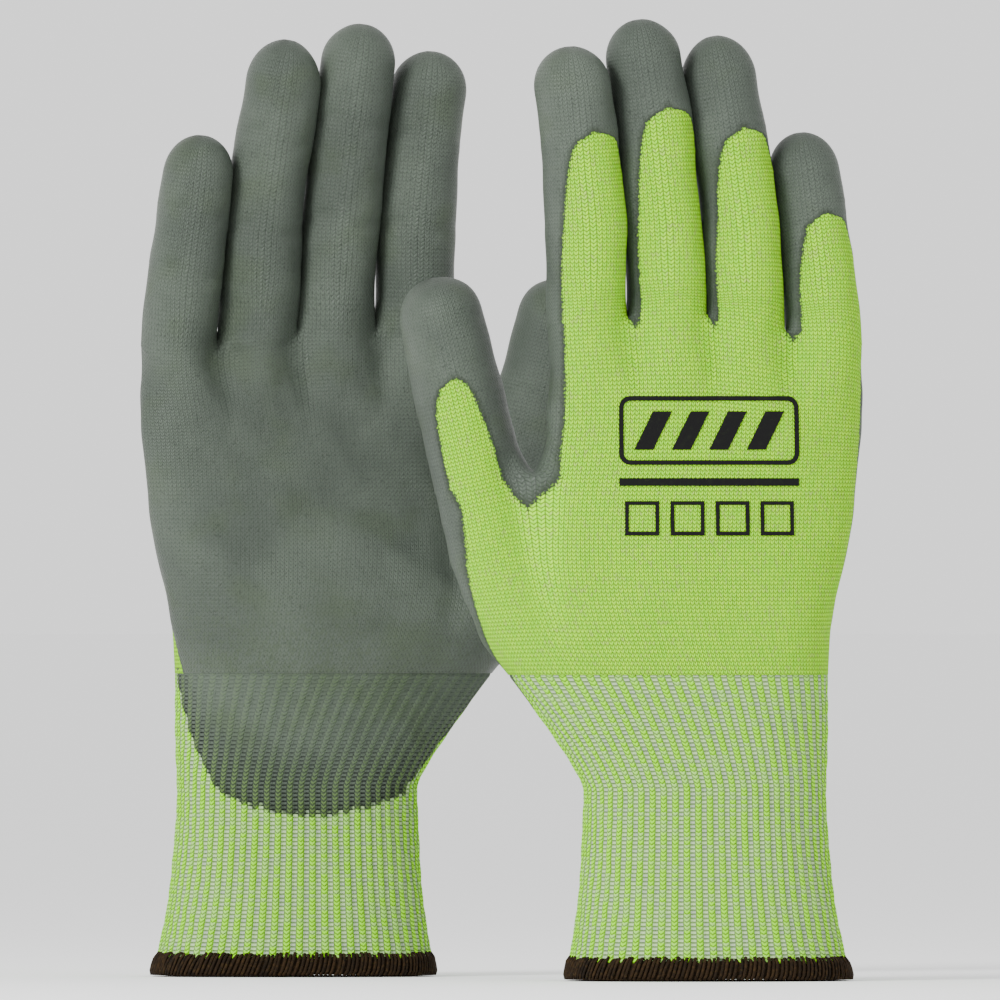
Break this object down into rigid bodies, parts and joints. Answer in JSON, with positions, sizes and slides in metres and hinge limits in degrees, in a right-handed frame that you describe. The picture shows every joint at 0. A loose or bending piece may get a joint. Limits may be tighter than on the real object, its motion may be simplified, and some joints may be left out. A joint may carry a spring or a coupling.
{
  "type": "cut resistant glove",
  "caption": "Knitted cut resistant right-hand gloves with a dipped palm, a ribbed cuff and an overlocked hem; the fingers fold.",
  "frame": {"origin": "on the floor, halfway between the two gloves", "axes": "+Z towards the fingertips, +Y away from the front glove's back, +X towards the front glove"},
  "size_m": [0.1812, 0.1752, 0.2519],
  "materials": {
    "knit": "matte knit",
    "rib": "matte ribbed knit",
    "coating": "matte polyurethane film",
    "coated_tip": "knit soaked with matte film",
    "overlock_thread": "matte thread",
    "print": "flat transfer print"
  },
  "bodies": {
    "pair_of_hands": {"rear_hand_knit": "knit", "rear_palm_coating": "coating", "rear_cuff_rib": "rib", "rear_hem_overlock": "overlock_thread", "rear_back_print": "print", "front_hand_knit": "knit", "front_palm_coating": "coating", "front_cuff_rib": "rib", "front_hem_overlock": "overlock_thread", "front_back_print": "print"},
    "rear_index_base": {"rear_index_base_knit": "knit", "rear_index_base_coating": "coating"},
    "rear_index_mid": {"rear_index_mid_knit": "knit", "rear_index_mid_coating": "coating"},
    "rear_index_tip": {"rear_index_tip": "coated_tip"},
    "rear_middle_base": {"rear_middle_base_knit": "knit", "rear_middle_base_coating": "coating"},
    "rear_middle_mid": {"rear_middle_mid_knit": "knit", "rear_middle_mid_coating": "coating"},
    "rear_middle_tip": {"rear_middle_tip": "coated_tip"},
    "rear_ring_base": {"rear_ring_base_knit": "knit", "rear_ring_base_coating": "coating"},
    "rear_ring_mid": {"rear_ring_mid_knit": "knit", "rear_ring_mid_coating": "coating"},
    "rear_ring_tip": {"rear_ring_tip": "coated_tip"},
    "rear_little_base": {"rear_little_base_knit": "knit", "rear_little_base_coating": "coating"},
    "rear_little_mid": {"rear_little_mid_knit": "knit", "rear_little_mid_coating": "coating"},
    "rear_little_tip": {"rear_little_tip": "coated_tip"},
    "rear_thumb_base": {"rear_thumb_base_knit": "knit", "rear_thumb_base_coating": "coating"},
    "rear_thumb_tip": {"rear_thumb_tip": "coated_tip"},
    "front_index_base": {"front_index_base_knit": "knit", "front_index_base_coating": "coating"},
    "front_index_mid": {"front_index_mid_knit": "knit", "front_index_mid_coating": "coating"},
    "front_index_tip": {"front_index_tip": "coated_tip"},
    "front_middle_base": {"front_middle_base_knit": "knit", "front_middle_base_coating": "coating"},
    "front_middle_mid": {"front_middle_mid_knit": "knit", "front_middle_mid_coating": "coating"},
    "front_middle_tip": {"front_middle_tip": "coated_tip"},
    "front_ring_base": {"front_ring_base_knit": "knit", "front_ring_base_coating": "coating"},
    "front_ring_mid": {"front_ring_mid_knit": "knit", "front_ring_mid_coating": "coating"},
    "front_ring_tip": {"front_ring_tip": "coated_tip"},
    "front_little_base": {"front_little_base_knit": "knit", "front_little_base_coating": "coating"},
    "front_little_mid": {"front_little_mid_knit": "knit", "front_little_mid_coating": "coating"},
    "front_little_tip": {"front_little_tip": "coated_tip"},
    "front_thumb_base": {"front_thumb_base_knit": "knit", "front_thumb_base_coating": "coating"},
    "front_thumb_tip": {"front_thumb_tip": "coated_tip"}
  },
  "joints": [
    {"name": "rear_index_root_fold", "type": "hinge", "parent": "pair_of_hands", "child": "rear_index_base", "pos_m": [-0.01715, 0.06153, 0.176], "axis": [0.9998, 0, -0.0175], "range_deg": [0, 75], "stiffness_Nm_per_rad": 0.008},
    {"name": "rear_index_mid_fold", "type": "hinge", "parent": "rear_index_base", "child": "rear_index_mid", "pos_m": [-0.01677, 0.06153, 0.198], "axis": [0.9986, 0, -0.0523], "range_deg": [0, 80], "stiffness_Nm_per_rad": 0.008},
    {"name": "rear_index_tip_fold", "type": "hinge", "parent": "rear_index_mid", "child": "rear_index_tip", "pos_m": [-0.01467, 0.06153, 0.2219], "axis": [0.9954, 0, -0.0958], "range_deg": [0, 44], "stiffness_Nm_per_rad": 0.008},
    {"name": "rear_middle_root_fold", "type": "hinge", "parent": "pair_of_hands", "child": "rear_middle_base", "pos_m": [-0.03806, 0.05798, 0.1758], "axis": [0.9994, 0, -0.0349], "range_deg": [0, 75], "stiffness_Nm_per_rad": 0.008},
    {"name": "rear_middle_mid_fold", "type": "hinge", "parent": "rear_middle_base", "child": "rear_middle_mid", "pos_m": [-0.03723, 0.05673, 0.19975], "axis": [0.9976, 0, -0.0698], "range_deg": [0, 80], "stiffness_Nm_per_rad": 0.008},
    {"name": "rear_middle_tip_fold", "type": "hinge", "parent": "rear_middle_mid", "child": "rear_middle_tip", "pos_m": [-0.03442, 0.05531, 0.22657], "axis": [0.9925, 0, -0.1219], "range_deg": [0, 44], "stiffness_Nm_per_rad": 0.008},
    {"name": "rear_ring_root_fold", "type": "hinge", "parent": "pair_of_hands", "child": "rear_ring_base", "pos_m": [-0.05896, 0.05443, 0.1757], "axis": [0.999, 0, -0.0436], "range_deg": [0, 75], "stiffness_Nm_per_rad": 0.008},
    {"name": "rear_ring_mid_fold", "type": "hinge", "parent": "rear_ring_base", "child": "rear_ring_mid", "pos_m": [-0.05802, 0.05271, 0.19761], "axis": [0.9966, 0, -0.0828], "range_deg": [0, 80], "stiffness_Nm_per_rad": 0.008},
    {"name": "rear_ring_tip_fold", "type": "hinge", "parent": "rear_ring_mid", "child": "rear_ring_tip", "pos_m": [-0.055, 0.05075, 0.22235], "axis": [0.9903, 0, -0.1392], "range_deg": [0, 44], "stiffness_Nm_per_rad": 0.008},
    {"name": "rear_little_root_fold", "type": "hinge", "parent": "pair_of_hands", "child": "rear_little_base", "pos_m": [-0.07989, 0.05091, 0.17047], "axis": [0.9976, 0, -0.0698], "range_deg": [0, 75], "stiffness_Nm_per_rad": 0.008},
    {"name": "rear_little_mid_fold", "type": "hinge", "parent": "rear_little_base", "child": "rear_little_mid", "pos_m": [-0.0788, 0.04868, 0.18628], "axis": [0.9954, 0, -0.0958], "range_deg": [0, 80], "stiffness_Nm_per_rad": 0.008},
    {"name": "rear_little_tip_fold", "type": "hinge", "parent": "rear_little_mid", "child": "rear_little_tip", "pos_m": [-0.07677, 0.04632, 0.20299], "axis": [0.989, 0, -0.1478], "range_deg": [0, 44], "stiffness_Nm_per_rad": 0.008},
    {"name": "rear_thumb_root_fold", "type": "hinge", "parent": "pair_of_hands", "child": "rear_thumb_base", "pos_m": [0.01048, 0.04824, 0.13412], "axis": [0.9649, -0.1392, -0.2228], "range_deg": [0, 40], "stiffness_Nm_per_rad": 0.008},
    {"name": "rear_thumb_tip_fold", "type": "hinge", "parent": "rear_thumb_base", "child": "rear_thumb_tip", "pos_m": [0.01484, 0.04824, 0.15299], "axis": [0.9638, -0.1391, -0.2275], "range_deg": [0, 55], "stiffness_Nm_per_rad": 0.008},
    {"name": "front_index_root_fold", "type": "hinge", "parent": "pair_of_hands", "child": "front_index_base", "pos_m": [0.01715, -0.06153, 0.176], "axis": [-0.9998, 0, -0.0175], "range_deg": [0, 75], "stiffness_Nm_per_rad": 0.008},
    {"name": "front_index_mid_fold", "type": "hinge", "parent": "front_index_base", "child": "front_index_mid", "pos_m": [0.01677, -0.06153, 0.198], "axis": [-0.9986, 0, -0.0523], "range_deg": [0, 80], "stiffness_Nm_per_rad": 0.008},
    {"name": "front_index_tip_fold", "type": "hinge", "parent": "front_index_mid", "child": "front_index_tip", "pos_m": [0.01467, -0.06153, 0.2219], "axis": [-0.9954, 0, -0.0958], "range_deg": [0, 44], "stiffness_Nm_per_rad": 0.008},
    {"name": "front_middle_root_fold", "type": "hinge", "parent": "pair_of_hands", "child": "front_middle_base", "pos_m": [0.03806, -0.05798, 0.1758], "axis": [-0.9994, 0, -0.0349], "range_deg": [0, 75], "stiffness_Nm_per_rad": 0.008},
    {"name": "front_middle_mid_fold", "type": "hinge", "parent": "front_middle_base", "child": "front_middle_mid", "pos_m": [0.03723, -0.05673, 0.19975], "axis": [-0.9976, 0, -0.0698], "range_deg": [0, 80], "stiffness_Nm_per_rad": 0.008},
    {"name": "front_middle_tip_fold", "type": "hinge", "parent": "front_middle_mid", "child": "front_middle_tip", "pos_m": [0.03442, -0.05531, 0.22657], "axis": [-0.9925, 0, -0.1219], "range_deg": [0, 44], "stiffness_Nm_per_rad": 0.008},
    {"name": "front_ring_root_fold", "type": "hinge", "parent": "pair_of_hands", "child": "front_ring_base", "pos_m": [0.05896, -0.05443, 0.1757], "axis": [-0.999, 0, -0.0436], "range_deg": [0, 75], "stiffness_Nm_per_rad": 0.008},
    {"name": "front_ring_mid_fold", "type": "hinge", "parent": "front_ring_base", "child": "front_ring_mid", "pos_m": [0.05802, -0.05271, 0.19761], "axis": [-0.9966, 0, -0.0828], "range_deg": [0, 80], "stiffness_Nm_per_rad": 0.008},
    {"name": "front_ring_tip_fold", "type": "hinge", "parent": "front_ring_mid", "child": "front_ring_tip", "pos_m": [0.055, -0.05075, 0.22235], "axis": [-0.9903, 0, -0.1392], "range_deg": [0, 44], "stiffness_Nm_per_rad": 0.008},
    {"name": "front_little_root_fold", "type": "hinge", "parent": "pair_of_hands", "child": "front_little_base", "pos_m": [0.07989, -0.05091, 0.17047], "axis": [-0.9976, 0, -0.0698], "range_deg": [0, 75], "stiffness_Nm_per_rad": 0.008},
    {"name": "front_little_mid_fold", "type": "hinge", "parent": "front_little_base", "child": "front_little_mid", "pos_m": [0.0788, -0.04868, 0.18628], "axis": [-0.9954, 0, -0.0958], "range_deg": [0, 80], "stiffness_Nm_per_rad": 0.008},
    {"name": "front_little_tip_fold", "type": "hinge", "parent": "front_little_mid", "child": "front_little_tip", "pos_m": [0.07677, -0.04632, 0.20299], "axis": [-0.989, 0, -0.1478], "range_deg": [0, 44], "stiffness_Nm_per_rad": 0.008},
    {"name": "front_thumb_root_fold", "type": "hinge", "parent": "pair_of_hands", "child": "front_thumb_base", "pos_m": [-0.01048, -0.04824, 0.13412], "axis": [-0.9649, 0.1392, -0.2228], "range_deg": [0, 40], "stiffness_Nm_per_rad": 0.008},
    {"name": "front_thumb_tip_fold", "type": "hinge", "parent": "front_thumb_base", "child": "front_thumb_tip", "pos_m": [-0.01484, -0.04824, 0.15299], "axis": [-0.9638, 0.1391, -0.2275], "range_deg": [0, 55], "stiffness_Nm_per_rad": 0.008}
  ],
  "couplings": [
    {"joint": "rear_index_tip_fold", "follows": "rear_index_mid_fold", "ratio": 0.55},
    {"joint": "rear_middle_tip_fold", "follows": "rear_middle_mid_fold", "ratio": 0.55},
    {"joint": "rear_ring_tip_fold", "follows": "rear_ring_mid_fold", "ratio": 0.55},
    {"joint": "rear_little_tip_fold", "follows": "rear_little_mid_fold", "ratio": 0.55},
    {"joint": "front_index_tip_fold", "follows": "front_index_mid_fold", "ratio": 0.55},
    {"joint": "front_middle_tip_fold", "follows": "front_middle_mid_fold", "ratio": 0.55},
    {"joint": "front_ring_tip_fold", "follows": "front_ring_mid_fold", "ratio": 0.55},
    {"joint": "front_little_tip_fold", "follows": "front_little_mid_fold", "ratio": 0.55}
  ]
}
